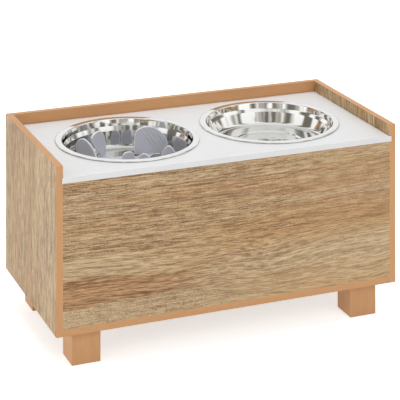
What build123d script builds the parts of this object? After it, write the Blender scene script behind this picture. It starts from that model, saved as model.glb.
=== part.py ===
"""Elevated dog feeder with storage.

A storage box of thin boards on four square legs. Its white top is a lid that turns on two pins
near its back edge and carries two steel bowls, one with a slow-feeding insert.

Millimetres. +X is to the right, +Y to the back, +Z up. The origin is on the floor, under the
middle of the box.
"""

from build123d import *
from math import hypot
from typing import NamedTuple
import os

# ---------------------------------------------------------------- cabinet
body_length = 600.0  # across the front, outside
body_depth = 300.0  # front to back, without the lid's lip
side_height = 268.0  # side panels, from the underside of the bottom board
board = 11.0  # thickness of every wood-effect board
edge_band = 1.0  # thickness of the edge banding
rim_height = 19.0  # how far the sides and the back rail stand above the lid
rail_height = 40.0  # back rail, top to bottom

leg_size = 48.0  # square section
leg_height = 55.0
leg_inset_x = 30.0  # from the outside of the side panels
leg_inset_y = 15.0  # from the front and from the back

# ---------------------------------------------------------------- lid and its pivots
lid_board_t = 9.0
lid_end_gap = 0.5  # between the lid and each side panel
swing_gap = 0.4  # least clearance of the lid's edges while it turns
lip_lap = 2.3  # how far the lid's front strip laps over each side panel
pivot_from_back = 10.0  # pivot axis in front of the lid's back edge
pin_d = 4.0
pin_in_lid = 22.0
pin_in_bush = 6.0
bush_d = 8.0
bush_length = 8.0
running_gap = 0.05  # radial, pin in bush
fit_gap = 0.1  # radial, a fastener or bush in its hole

# ---------------------------------------------------------------- bowls
mouth_d = 221.0
rim_width = 11.0
bowl_gap = 19.0  # between the two rims
bowl_centre_y = -5.0
steel = 1.0
rim_rise = 2.5  # top of the rolled rim above the lid
rim_curl = 1.2  # radius of the rolled outer edge
mouth_round = 1.6
hole_gap = 1.0  # radial, between a bowl and the hole it hangs in

# Insets are radial, from the mouth, and depths are below the top of the lid.
slow_bowl_depth = 46.0
slow_floor_inset = 9.0
slow_corner = 8.0
slow_bead_top_inset, slow_bead_top_depth = 1.9, 9.0  # the shoulder pressed into its wall
slow_bead_low_inset, slow_bead_low_depth = 4.9, 16.5
bead_round = 2.0

round_bowl_depth = 35.0
round_floor_inset = 15.0
round_corner = 8.0
round_bead_top_inset, round_bead_top_depth = 2.1, 7.5
round_bead_low_inset, round_bead_low_depth = 6.0, 12.5
floor_step_d = 116.0
floor_step = 2.0
floor_step_round = 1.5

# ---------------------------------------------------------------- slow-feeding insert
insert_gap = 0.3  # under its base
insert_base_t = 2.5
hub_d = 96.0
arm_width = 18.0
petal_t = 4.0
ribbed_petal = "back_right"
rib_count = 4
rib_pitch = 7.8
rib_width = 3.8
rib_rise = 1.1
rib_length = 52.0
rib_slant = 35.0  # degrees, their tops lean to the left
rib_start = (-1.0, 22.0)  # middle of the first rib
rib_foot = 8.0  # lowest end of the ribs
rib_reach = 0.86  # the ribs end where the petal would if it were this much smaller


class Petal(NamedTuple):
    """An upright rounded blade: where it stands from the bowl's middle, and its outline.

    The petals are drawn for a bowl with a floor of 203 mm, and follow the size of its floor.
    """

    x: float
    y: float
    turn: float  # degrees about +Z, its face looks to the front at 0
    foot: tuple  # left and right ends of its foot
    edge: list  # (sideways, height) from the right end of the foot over the tip to the left


petals = {
    "back_left": Petal(
        -22,
        62,
        34,
        (-5, 5),
        [(5, 16), (2, 34), (-7, 44.5), (-18, 46.5), (-30, 43.5), (-34, 37), (-25, 22), (-12, 9)],
    ),
    "left": Petal(
        -60, 40, -50, (-15, 26), [(17, 21), (9, 32), (-4, 40), (-16, 36), (-20, 25), (-18, 10)]
    ),
    "back_right": Petal(
        58,
        48,
        -10,
        (-28, 22),
        [(32, 13), (23, 32), (9.5, 43), (-4, 46.5), (-17, 44.5), (-25, 37), (-28, 20)],
    ),
    "right": Petal(71, -8, -30, (-14, 14), [(14, 10), (8, 23), (0, 28), (-9, 20), (-13, 9)]),
    "middle": Petal(-6, -22, 4, (-12, 12), [(13, 13), (8, 28), (-2, 31), (-10, 27), (-13, 13)]),
    "front": Petal(22, -26, -24, (-12, 12), [(13, 10), (7, 21), (-2, 26), (-11, 20), (-13, 9)]),
    "front_left": Petal(-48, -36, 32, (-15, 15), [(16, 9), (8, 20), (-8, 20), (-16, 9)]),
    "front_right": Petal(24, -66, -8, (-15, 15), [(16, 8), (8, 18), (-8, 18), (-16, 8)]),
}

# ---------------------------------------------------------------- fasteners
cam_d = 12.0
cam_depth = 8.5
cam_setback = 24.0  # cam centre from the end of its board
cam_slot_d = 6.8
cam_bolt_d = 5.8
cam_bolt_in_side = 8.5
bolt_bore_d = 7.0
dowel_d = 6.0
dowel_in_side = 8.0
dowel_in_board = 17.0
dowel_end_gap = 0.5
joint_end = 40.0  # first cam bolt from the end of an upright joint
bottom_joint_end = 68.0  # the same on the bottom board, past the screws of the legs
dowel_pitch = 32.0  # dowel beside its cam bolt
rail_dowel_end = 12.0

screw_d = 4.0
screw_head_d = 8.0
screw_head_h = 2.6
screw_length = 36.0
screw_offset = 12.0  # from the middle of the leg, along both sides
cross_width = 1.2  # driver recess
cross_depth = 1.4

# ---------------------------------------------------------------- places that follow from these
half_length = body_length / 2
half_depth = body_depth / 2
inner_x = half_length - board
inner_y = half_depth - board
bottom_z = leg_height
floor_z = leg_height + board
top_z = leg_height + side_height
lid_top_z = top_z - rim_height
lid_low_z = lid_top_z - lid_board_t
rail_low_z = top_z - rail_height

pivot_z = lid_top_z - lid_board_t / 2
lid_back_gap = hypot(pivot_from_back, lid_board_t / 2) - pivot_from_back + swing_gap
lid_back_y = inner_y - lid_back_gap
pivot_y = lid_back_y - pivot_from_back
# The lip laps over the side panels, so it stands far enough in front of them to swing past.
lip_gap = rim_height * (rim_height + lid_board_t) / (2 * (pivot_y + half_depth)) + swing_gap
lid_front_y = -half_depth - lip_gap
lid_half_length = inner_x - lid_end_gap

rim_d = mouth_d + 2 * rim_width
bowl_x = (rim_d + bowl_gap) / 2
slow_floor_d = mouth_d - 2 * slow_floor_inset
petal_scale = slow_floor_d / 203
leg_x = half_length - leg_inset_x - leg_size / 2
leg_y = half_depth - leg_inset_y - leg_size / 2


def block(x, y, z):
    """A rectangular board from its (low, high) limits along each axis."""
    size = [high - low for low, high in (x, y, z)]
    middle = [(low + high) / 2 for low, high in (x, y, z)]
    return Pos(*middle) * Box(*size)


def rod(start, direction, length, diameter):
    """A round rod or bore that runs from start along direction."""
    return extrude(Plane(origin=start, z_dir=direction) * Circle(diameter / 2), amount=length)


# ---------------------------------------------------------------- joinery
# Where the ends of a board meet the side panels, cam bolts draw them together and dowels line
# them up. Places are points (y, z) on the middle of the board's thickness.
def joint_points(low, high, end, place):
    """Cam bolts near both ends of a joint, each with a dowel beside it on the inner side."""
    bolts = [low + end, high - end]
    dowels = [low + end + dowel_pitch, high - end - dowel_pitch]
    return [place(s) for s in bolts], [place(s) for s in dowels]


# For each board: which way its cams face, its cam bolts and its dowels.
front_mid_y = -half_depth + board / 2
back_mid_y = half_depth - board / 2
bottom_mid_z = bottom_z + board / 2
rail_dowels = [
    (back_mid_y, rail_low_z + rail_dowel_end),
    (back_mid_y, top_z - rail_dowel_end),
]
joints = {
    "front_panel": (
        (0, 1, 0),
        *joint_points(floor_z, lid_low_z, joint_end, lambda s: (front_mid_y, s)),
    ),
    "back_panel": (
        (0, -1, 0),
        *joint_points(floor_z, rail_low_z, joint_end, lambda s: (back_mid_y, s)),
    ),
    "bottom_panel": (
        (0, 0, 1),
        *joint_points(-inner_y, inner_y, bottom_joint_end, lambda s: (s, bottom_mid_z)),
    ),
    "back_rail": (None, [], rail_dowels),
}


def dowel_at(side, y, z, gap=0.0):
    """A dowel across the joint, or its two bores when gap is the radial clearance."""
    end = dowel_end_gap if gap else 0.0
    length = dowel_in_side + dowel_in_board + 2 * end
    start = (side * (inner_x + dowel_in_side + end), y, z)
    return rod(start, (-side, 0, 0), length, dowel_d + 2 * gap)


def cam_place(side, y, z, facing):
    """Where a cam's open face lies on the inner face of its board."""
    x = side * (inner_x - cam_setback)
    if facing[1]:
        return (x, -facing[1] * inner_y, z)
    return (x, y, floor_z)


def cam_at(side, y, z, facing, gap=0.0):
    """A cam lock let into the inner face, or its pocket when gap is the radial clearance."""
    away = [-a for a in facing]
    return rod(cam_place(side, y, z, facing), away, cam_depth + gap, cam_d + 2 * gap)


def bolt_at(side, y, z):
    """A cam bolt: screwed into the side panel, its head in the middle of the cam."""
    start = (side * (inner_x + cam_bolt_in_side), y, z)
    return rod(start, (-side, 0, 0), cam_bolt_in_side + cam_setback, cam_bolt_d)


def bolt_bores(side, y, z):
    """The bolt's hole in the side panel and the wider bore in the end of the board."""
    start = (side * (inner_x + cam_bolt_in_side + fit_gap), y, z)
    narrow = rod(start, (-side, 0, 0), cam_bolt_in_side + cam_setback, cam_bolt_d + 2 * fit_gap)
    wide = rod((side * inner_x, y, z), (-side, 0, 0), cam_setback, bolt_bore_d)
    return narrow + wide


def cross_recess(top, facing, reach):
    """A cross-shaped driver recess cut into the face at top."""
    plane = Plane(origin=top, z_dir=facing)
    arms = Rectangle(2 * reach, cross_width) + Rectangle(cross_width, 2 * reach)
    return extrude(plane * arms, amount=-cross_depth)


def joinery_cuts(node):
    """Every bore and pocket that one board's joints need, in the board and in both sides."""
    facing, bolts, dowels = joints[node]
    cuts = []
    for side in (-1, 1):
        for y, z in bolts:
            cuts.append(cam_at(side, y, z, facing, fit_gap))
            cuts.append(bolt_bores(side, y, z))
        for y, z in dowels:
            cuts.append(dowel_at(side, y, z, fit_gap))
    return cuts


def make_cam(side, y, z, facing):
    """One cam lock, with the slot that takes the bolt's head and a cross for the driver."""
    cam = cam_at(side, y, z, facing)
    outward = (side, 0, 0)
    centre = (side * (inner_x - cam_setback), y, z)
    slot = rod(centre, outward, cam_d, cam_slot_d) + Pos(*centre) * Sphere(cam_slot_d / 2)
    return cam - slot - cross_recess(cam_place(side, y, z, facing), facing, cam_d / 4)


# ---------------------------------------------------------------- cabinet pieces
def make_side(side):
    """A side panel inside its banding, with the bores of its joints and of the pivot bush."""
    outer, inner = side * half_length, side * inner_x
    panel = block(
        sorted((outer, inner)),
        (-half_depth + edge_band, half_depth - edge_band),
        (bottom_z + edge_band, top_z - edge_band),
    )
    for node in joints:
        for cut in joinery_cuts(node):
            panel -= cut
    bush_hole = rod((inner, pivot_y, pivot_z), (side, 0, 0), bush_length, bush_d + 2 * fit_gap)
    return panel - bush_hole


def make_side_edging(side):
    """Four strips round a side panel: front, back, top and bottom."""
    x = sorted((side * half_length, side * inner_x))
    y_full = (-half_depth, half_depth)
    y_between = (-half_depth + edge_band, half_depth - edge_band)
    z_full = (bottom_z, top_z)
    return [
        block(x, (y_full[0], y_between[0]), z_full),
        block(x, (y_between[1], y_full[1]), z_full),
        block(x, y_between, (top_z - edge_band, top_z)),
        block(x, y_between, (bottom_z, bottom_z + edge_band)),
    ]


def make_board(node, y, z, extra_cuts=()):
    """A board between the side panels, with its own joinery cut in."""
    panel = block((-inner_x, inner_x), y, z)
    for cut in [*joinery_cuts(node), *extra_cuts]:
        panel -= cut
    return panel


def screw_places():
    """The two screws of each leg, at the bottom board's upper face."""
    return [
        (sx * leg_x + k * screw_offset, sy * leg_y + k * screw_offset, floor_z)
        for sx in (-1, 1)
        for sy in (-1, 1)
        for k in (-1, 1)
    ]


def screw_body(place, gap=0.0):
    """A countersunk wood screw, or its hole when gap is the radial clearance."""
    x, y, z = place
    head = Pos(x, y, z - screw_head_h / 2) * Cone(
        screw_d / 2 + gap, screw_head_d / 2 + gap, screw_head_h
    )
    shank = rod(place, (0, 0, -1), screw_length + gap, screw_d + 2 * gap)
    return head + shank


def make_screw(place):
    return screw_body(place) - cross_recess(place, (0, 0, 1), screw_head_d / 4)


def make_leg(sx, sy):
    leg = Pos(sx * leg_x, sy * leg_y, leg_height / 2) * Box(leg_size, leg_size, leg_height)
    for place in screw_places():
        leg -= screw_body(place, fit_gap)
    return leg


# ---------------------------------------------------------------- lid pieces
def make_lid_board():
    lid = block(
        (-lid_half_length, lid_half_length), (lid_front_y, lid_back_y), (lid_low_z, lid_top_z)
    )
    hole_r = mouth_d / 2 + steel + hole_gap
    for side in (-1, 1):
        lid -= Pos(side * bowl_x, bowl_centre_y, pivot_z) * Cylinder(hole_r, 2 * lid_board_t)
        mouth = (side * lid_half_length, pivot_y, pivot_z)
        lid -= rod(mouth, (-side, 0, 0), pin_in_lid, pin_d + 2 * running_gap)
    return lid


def make_lid_strip():
    reach = inner_x + lip_lap
    return block((-reach, reach), (lid_front_y - edge_band, lid_front_y), (lid_low_z, lid_top_z))


def make_pin(side):
    start = (side * (lid_half_length - pin_in_lid), pivot_y, pivot_z)
    pin = rod(start, (side, 0, 0), pin_in_lid + lid_end_gap + pin_in_bush, pin_d)
    return chamfer(pin.edges().filter_by(GeomType.CIRCLE), pin_d / 10)


def make_bush(side):
    mouth = (side * inner_x, pivot_y, pivot_z)
    bush = rod(mouth, (side, 0, 0), bush_length, bush_d)
    return bush - rod(mouth, (side, 0, 0), pin_in_bush + lid_end_gap, pin_d + 2 * running_gap)


# ---------------------------------------------------------------- bowls
def pressed_bowl(x, inside, rounds):
    """A bowl of sheet steel: a line from its rolled edge to its middle, given a thickness.

    inside lists the corners of the line below the mouth, as (radius, depth under the lid's
    top), and rounds the radius at each of them. The sheet is what an inward offset takes off
    the space under the line, as far as the line goes.
    """
    edge = [(rim_d / 2, 0.0), (rim_d / 2, -rim_rise), (mouth_d / 2, -rim_rise)]
    below = 3 * inside[-1][1]
    middle = [(-rim_width, inside[-1][1]), (-rim_width, below)]
    space = [(rim_d / 2, below), *edge[1:], *inside[:-1], *middle]
    points = [(r, 0, lid_top_z - depth) for r, depth in space]
    corners = [0, rim_curl, mouth_round, *rounds, 0, 0]
    outline = FilletPolyline(*points, radius=corners, close=True).wire()
    core = outline.offset_2d(-steel, kind=Kind.INTERSECTION)
    sheet = make_face(outline.edges()) - make_face(core.edges())
    under_rim = Pos(rim_d / 2, 0, lid_top_z - below / 2) * Box(rim_width, rim_width, below)
    past_middle = Pos(-rim_width, 0, lid_top_z - below / 2) * Box(
        2 * rim_width, rim_width, 3 * below
    )
    foot = Pos(0, 0, lid_top_z - below) * Box(2 * rim_d, rim_width, below)
    sheet -= [under_rim, past_middle, foot]
    return Pos(x, bowl_centre_y, 0) * revolve(sheet, axis=Axis.Z)


def make_slow_bowl():
    mouth = mouth_d / 2
    inside = [
        (mouth - slow_bead_top_inset, slow_bead_top_depth),
        (mouth - slow_bead_low_inset, slow_bead_low_depth),
        (mouth - slow_floor_inset, slow_bowl_depth),
        (0.0, slow_bowl_depth),
    ]
    return pressed_bowl(-bowl_x, inside, [bead_round, bead_round, slow_corner])


def make_round_bowl():
    mouth = mouth_d / 2
    upper_floor = round_bowl_depth - floor_step
    inside = [
        (mouth - round_bead_top_inset, round_bead_top_depth),
        (mouth - round_bead_low_inset, round_bead_low_depth),
        (mouth - round_floor_inset, upper_floor),
        (floor_step_d / 2 + floor_step, upper_floor),
        (floor_step_d / 2, round_bowl_depth),
        (0.0, round_bowl_depth),
    ]
    rounds = [bead_round, bead_round, round_corner, floor_step_round, floor_step_round]
    return pressed_bowl(bowl_x, inside, rounds)


# ---------------------------------------------------------------- slow-feeding insert
def scaled(points):
    """Points of a petal's drawing, brought to the size of the bowl."""
    return [(petal_scale * x, petal_scale * y) for x, y in points]


def petal_outline(petal):
    """The flat outline of a petal, closed along its foot."""
    left, right = [(x, 0) for x in petal.foot]
    edge = Spline(*scaled([right, *petal.edge, left]))
    return make_face([*edge.edges(), *Line(*scaled([left, right])).edges()])


def petal_ribs(petal):
    """Slanted ribs on the front of a petal, from its middle to its right edge."""
    reach = [(rib_reach * x, rib_reach * y) for x, y in [(petal.foot[1], rib_foot), *petal.edge]]
    inside = make_face(Polyline(*scaled(reach), close=True))
    x, y = rib_start
    ribs = [
        Pos(x + i * rib_pitch, y) * Rot(0, 0, rib_slant) * Rectangle(rib_width, rib_length)
        for i in range(rib_count)
    ]
    return extrude((Sketch() + ribs) & inside, amount=rib_rise)


def petal_at(petal):
    return petal_scale * petal.x, petal_scale * petal.y


def make_petal(petal, ribbed):
    """A petal in its place, its foot half way down in the base."""
    blade = extrude(petal_outline(petal), amount=petal_t / 2, both=True)
    if ribbed:
        blade += Pos(0, 0, petal_t / 2) * petal_ribs(petal)
    x, y = petal_at(petal)
    return Pos(x, y, insert_base_t / 2) * Rot(0, 0, petal.turn) * Rot(90, 0, 0) * blade


def make_insert():
    """Petals on a flat star: a round hub with an arm out to each petal."""
    star = Circle(hub_d / 2)
    for petal in petals.values():
        x, y = petal_at(petal)
        star += SlotCenterPoint((x / 2, y / 2), (x, y), arm_width)
    insert = extrude(star, amount=insert_base_t)
    for name, petal in petals.items():
        insert += make_petal(petal, name == ribbed_petal)
    return Pos(-bowl_x, bowl_centre_y, lid_top_z - slow_bowl_depth + insert_gap) * insert


# ---------------------------------------------------------------- all pieces
def all_nodes():
    screw_holes = [screw_body(place, fit_gap) for place in screw_places()]
    front_y = (-half_depth, -inner_y)
    back_y = (inner_y, half_depth)
    nodes = {
        "left_side_panel": make_side(-1),
        "right_side_panel": make_side(1),
        "left_side_edging": make_side_edging(-1),
        "right_side_edging": make_side_edging(1),
        "bottom_panel": make_board(
            "bottom_panel", (-half_depth + edge_band, half_depth), (bottom_z, floor_z), screw_holes
        ),
        "bottom_edging": block(
            (-inner_x, inner_x), (-half_depth, -half_depth + edge_band), (bottom_z, floor_z)
        ),
        "front_panel": make_board("front_panel", front_y, (floor_z, lid_low_z - edge_band)),
        "front_edging": block((-inner_x, inner_x), front_y, (lid_low_z - edge_band, lid_low_z)),
        "back_panel": make_board("back_panel", back_y, (floor_z, rail_low_z)),
        "back_rail": make_board("back_rail", back_y, (rail_low_z, top_z - edge_band)),
        "rail_edging": block((-inner_x, inner_x), back_y, (top_z - edge_band, top_z)),
        "lid_board": make_lid_board(),
        "lid_front_strip": make_lid_strip(),
        "left_pivot_pin": make_pin(-1),
        "right_pivot_pin": make_pin(1),
        "left_pivot_bush": make_bush(-1),
        "right_pivot_bush": make_bush(1),
        "bowl_left": make_slow_bowl(),
        "bowl_right": make_round_bowl(),
        "slow_feeder": make_insert(),
        "leg_screws": [make_screw(place) for place in screw_places()],
    }
    for y_name, sy in (("front", -1), ("back", 1)):
        for x_name, sx in (("left", -1), ("right", 1)):
            nodes[f"{y_name}_{x_name}_leg"] = make_leg(sx, sy)
    cams, bolts, dowels = [], [], []
    for facing, bolt_points, dowel_points in joints.values():
        for side in (-1, 1):
            cams += [make_cam(side, y, z, facing) for y, z in bolt_points]
            bolts += [bolt_at(side, y, z) for y, z in bolt_points]
            dowels += [dowel_at(side, y, z) for y, z in dowel_points]
    nodes |= {"cam_locks": cams, "cam_bolts": bolts, "panel_dowels": dowels}
    return nodes


os.makedirs("parts", exist_ok=True)
for node_name, shape in all_nodes().items():
    solids = [s for piece in (shape if isinstance(shape, list) else [shape]) for s in piece.solids()]
    export_step(Compound(children=solids), f"parts/{node_name}.step")
    print(f"{node_name}: {len(solids)}")
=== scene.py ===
# %% [markdown]
# # An elevated dog feeder, dressed in Blender
# The feeder is a storage box of thin boards on four square legs. Its white top is a lid that
# carries two steel bowls, and a grey insert in the left one makes a dog eat slowly. The solids
# come from a CAD model. This lesson keeps the boards as they are and gives them a finish, and it
# models again what the eye lingers on: the pressed bowls, the moulded insert, the drilled lid and
# every edge that a hand would feel as softly rounded.

from collections import namedtuple
from math import atan2, cos, hypot, pi, radians, sin, sqrt, tan

import bmesh
import bpy
from mathutils import Matrix, Vector


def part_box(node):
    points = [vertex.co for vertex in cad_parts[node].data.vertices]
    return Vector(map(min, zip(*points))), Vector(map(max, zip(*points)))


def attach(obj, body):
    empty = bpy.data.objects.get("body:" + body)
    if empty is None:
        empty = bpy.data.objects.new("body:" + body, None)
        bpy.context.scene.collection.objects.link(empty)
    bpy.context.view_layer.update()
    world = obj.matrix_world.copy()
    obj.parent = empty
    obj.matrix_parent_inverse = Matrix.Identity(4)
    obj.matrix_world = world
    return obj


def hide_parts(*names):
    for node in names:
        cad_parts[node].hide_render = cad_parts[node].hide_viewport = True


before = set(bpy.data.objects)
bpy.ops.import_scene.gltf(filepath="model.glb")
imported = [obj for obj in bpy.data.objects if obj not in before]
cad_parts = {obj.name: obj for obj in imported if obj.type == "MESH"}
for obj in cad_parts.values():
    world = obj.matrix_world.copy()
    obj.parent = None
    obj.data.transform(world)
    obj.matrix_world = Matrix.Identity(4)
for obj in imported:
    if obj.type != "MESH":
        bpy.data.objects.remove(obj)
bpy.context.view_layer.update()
scene = bpy.context.scene

# %% [markdown]
# ## Looking at it the way a catalogue does
# In a catalogue the uprights of a piece of furniture stay parallel. That comes from keeping the
# camera level and sliding its lens down. The same view is made here by leaning the camera's own
# axes: right and up stay level and upright, and only the third axis points down along the line
# of sight. An object can't hold such a lean itself, so the camera gets it from the matrix that
# ties it to a parent.

# %% Camera
FRAME_PIXELS = 400
FOCAL_PIXELS = 1600.1
CENTRE_PIXELS = (182.1, -359.9)  # where the level line of sight would meet the frame
EYE = Vector((-1.0304, -2.5453, 1.1443))
EYE_TURN = radians(21.453)
SENSOR_WIDTH = 36
FARTHEST = 50


def placed(name, data):
    """A new object in the scene."""
    made = bpy.data.objects.new(name, data)
    scene.collection.objects.link(made)
    return made


rightward = Vector((cos(EYE_TURN), -sin(EYE_TURN), 0))
forward = Vector((sin(EYE_TURN), cos(EYE_TURN), 0))
upward = Vector((0, 0, 1))
sight = (
    rightward * (FRAME_PIXELS / 2 - CENTRE_PIXELS[0])
    - upward * (FRAME_PIXELS / 2 - CENTRE_PIXELS[1])
    + forward * FOCAL_PIXELS
)
leaning = Matrix.Identity(4)
for column, axis in enumerate((rightward, upward, -sight.normalized(), EYE)):
    for row in range(3):
        leaning[row][column] = axis[row]

camera = placed("camera", bpy.data.cameras.new("camera"))
camera.parent = placed("camera_mount", None)
camera.matrix_parent_inverse = leaning
camera.data.sensor_width = SENSOR_WIDTH
camera.data.lens = sight.length * SENSOR_WIDTH / FRAME_PIXELS
camera.data.clip_end = FARTHEST
scene.camera = camera
print("lens", round(camera.data.lens, 1), "mm")

# %% [markdown]
# ## Helpers for shader nodes
# A material is a small network, and writing each link by hand hides what it does. Short helpers
# add a node with its settings and inputs in one line, so that each finish below reads like a
# recipe. Colours are written as a screen's numbers from 0 to 255 and are turned into the linear
# light that the renderer works in.

# %% Node helpers
MIX_COLOUR_INPUTS = (0, 6, 7)  # a Mix node's sockets for the share and the two colours
MIX_COLOUR_OUTPUT = 2


def linear(red, green, blue):
    """A screen's colour, from 0 to 255, as linear light."""
    shares = [value / 255 for value in (red, green, blue)]
    return [s / 12.92 if s <= 0.04045 else ((s + 0.055) / 1.055) ** 2.4 for s in shares] + [1.0]


def feed(socket, value):
    """Link an input to another socket, or set its value."""
    if isinstance(value, bpy.types.NodeSocket):
        socket.id_data.links.new(value, socket)
    else:
        socket.default_value = value


def add(tree, kind, settings=None, **inputs):
    """A new node; inputs are values or sockets, by socket name with _ for a space."""
    made = tree.nodes.new(kind)
    for name, value in (settings or {}).items():
        setattr(made, name, value)
    for name, value in inputs.items():
        feed(made.inputs[name.replace("_", " ")], value)
    return made


def tree_of(*values):
    """The tree that the first socket among some values belongs to."""
    return next(value.id_data for value in values if isinstance(value, bpy.types.NodeSocket))


def maths(operation, *values):
    """The result of a Math node, or of a Vector Math node after the word VECTOR_."""
    tree = tree_of(*values)
    vector = operation.startswith("VECTOR_")
    made = tree.nodes.new("ShaderNodeVectorMath" if vector else "ShaderNodeMath")
    made.operation = operation.removeprefix("VECTOR_")
    for socket, value in zip(made.inputs, values):
        feed(socket, value)
    return made.outputs["Value" if made.operation == "DOT_PRODUCT" else 0]


def times(first, second):
    return maths("MULTIPLY", first, second)


def weighted(*pairs):
    """The sum of some values, each times its weight."""
    total = None
    for value, weight in pairs:
        part = times(value, weight)
        total = part if total is None else maths("ADD", total, part)
    return total


def mix_colours(share, first, second):
    """A colour between two others."""
    made = add(share.id_data, "ShaderNodeMix", {"data_type": "RGBA"})
    for number, value in zip(MIX_COLOUR_INPUTS, (share, first, second)):
        feed(made.inputs[number], value)
    return made.outputs[MIX_COLOUR_OUTPUT]


def between(value, low, high):
    """value, moved so that low becomes 0 and high becomes 1, eased and held there."""
    made = add(value.id_data, "ShaderNodeMapRange", {"interpolation_type": "SMOOTHSTEP"},
               Value=value, From_Min=low, From_Max=high)
    return made.outputs["Result"]


def noise(place, scale, detail=2.0, roughness=0.5):
    """Soft noise from 0 to 1; scale is waves per metre, for all axes or for each."""
    if isinstance(scale, tuple):
        place, scale = maths("VECTOR_MULTIPLY", place, scale), 1.0
    made = add(place.id_data, "ShaderNodeTexNoise", Vector=place, Scale=scale, Detail=detail,
               Roughness=roughness)
    return made.outputs["Fac"]


print("helpers ready")

# %% [markdown]
# ## One frame for every finish
# Wood, plastic and steel differ in what varies over them, but all of them put out the same three
# things: a colour, a roughness and a height that a Bump node turns into relief. So each finish is
# a shader group with those outputs, built once, and one function places it in a material. The
# shader itself stays in the material, where the values that are the same all over are set.

# %% Groups and materials
FINISH_OUTPUTS = {"Color": "Color", "Roughness": "Float", "Height": "Float"}


def new_tree(kind, name, inputs, outputs):
    """An empty node tree with named sockets, with its input and output nodes."""
    tree = bpy.data.node_groups.new(name, kind)
    for way, sockets in (("INPUT", inputs), ("OUTPUT", outputs)):
        for label, sort in sockets.items():
            tree.interface.new_socket(label, in_out=way, socket_type=f"NodeSocket{sort}")
    return tree, tree.nodes.new("NodeGroupInput"), tree.nodes.new("NodeGroupOutput")


def put_out(result, **values):
    """Link the values that a group puts out."""
    for name, value in values.items():
        feed(result.inputs[name], value)


def new_finish(name, group, bump, relief_depth, turn=(0, 0, 0), centre=(0, 0, 0), **inputs):
    """A material from a group, which reads Object coordinates turned or centred on a point."""
    material = bpy.data.materials.new(name)
    material.use_nodes = True
    tree = material.node_tree
    place = add(tree, "ShaderNodeTexCoord", {"name": "place"})
    moved = add(tree, "ShaderNodeMapping", {"name": "moved"}, Vector=place.outputs["Object"],
                Location=[-c for c in centre], Rotation=[radians(angle) for angle in turn])
    surface = add(tree, "ShaderNodeGroup", {"name": "surface", "node_tree": group},
                  Vector=moved.outputs[0], **inputs)
    relief = add(tree, "ShaderNodeBump", Height=surface.outputs["Height"], Strength=bump,
                 Distance=relief_depth)
    shader = tree.nodes["Principled BSDF"]
    feed(shader.inputs["Base Color"], surface.outputs["Color"])
    feed(shader.inputs["Roughness"], surface.outputs["Roughness"])
    feed(shader.inputs["Normal"], relief.outputs[0])
    return material


print("each finish puts out", list(FINISH_OUTPUTS))

# %% [markdown]
# ## Wood grain, once for every board
# The boards are chipboard under a printed paper that imitates oak. Such a print has broad bands
# of paler and redder wood, thinner layers between them, long lines that flow round invisible
# knots, short streaks along the grain, and zones where the fibres ripple in slanted dashes. All
# of it is noise stretched along the grain, finer at each step. It is built once as a group whose
# grain runs along X. Each board turns it and picks its tints, and may ask for more pale or red
# wood, or for more ripple, where its own print has them.

# %% Wood grain group
# Waves per metre along and across the grain, detail, roughness, and the two levels of the noise
# that become 0 and 1.
GRAIN = {
    "bands": (1.4, 24.0, 1.0, 0.5, 0.36, 0.64),
    "reds": (2.2, 70.0, 1.0, 0.5, 0.52, 0.68),
    "layers": (2.6, 90.0, 2.0, 0.5, 0.38, 0.62),
    "flow": (5.0, 420.0, 2.0, 0.6, 0.42, 0.62),
    "streaks": (42.0, 640.0, 2.0, 0.6, 0.4, 0.6),
    "ripples": (220.0, 900.0, 2.0, 0.7, 0.42, 0.6),
    "zones": (2.0, 11.0, 1.0, 0.5, 0.5, 0.6),
}
DARK_SHARES = {"layers": 0.05, "flow": 0.3, "streaks": 0.4, "ripples": 0.48}
WANDERS = ((3.2, 8.0, 8.0), 1.0, 0.4)  # waves per metre, detail and roughness
WANDER_REACH = (0.0, 0.03, 0.03)
RED_SHARE = 0.42
RIPPLE_LEAN = -0.25
RIPPLE_IN_ZONES = 0.25
RIPPLE_ALL_OVER = 0.1
PALE_CALM = 0.3  # how much of the dark marks pale wood loses
PAPER_ROUGHNESS = 0.44
STREAK_ROUGHNESS = 0.12


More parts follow.
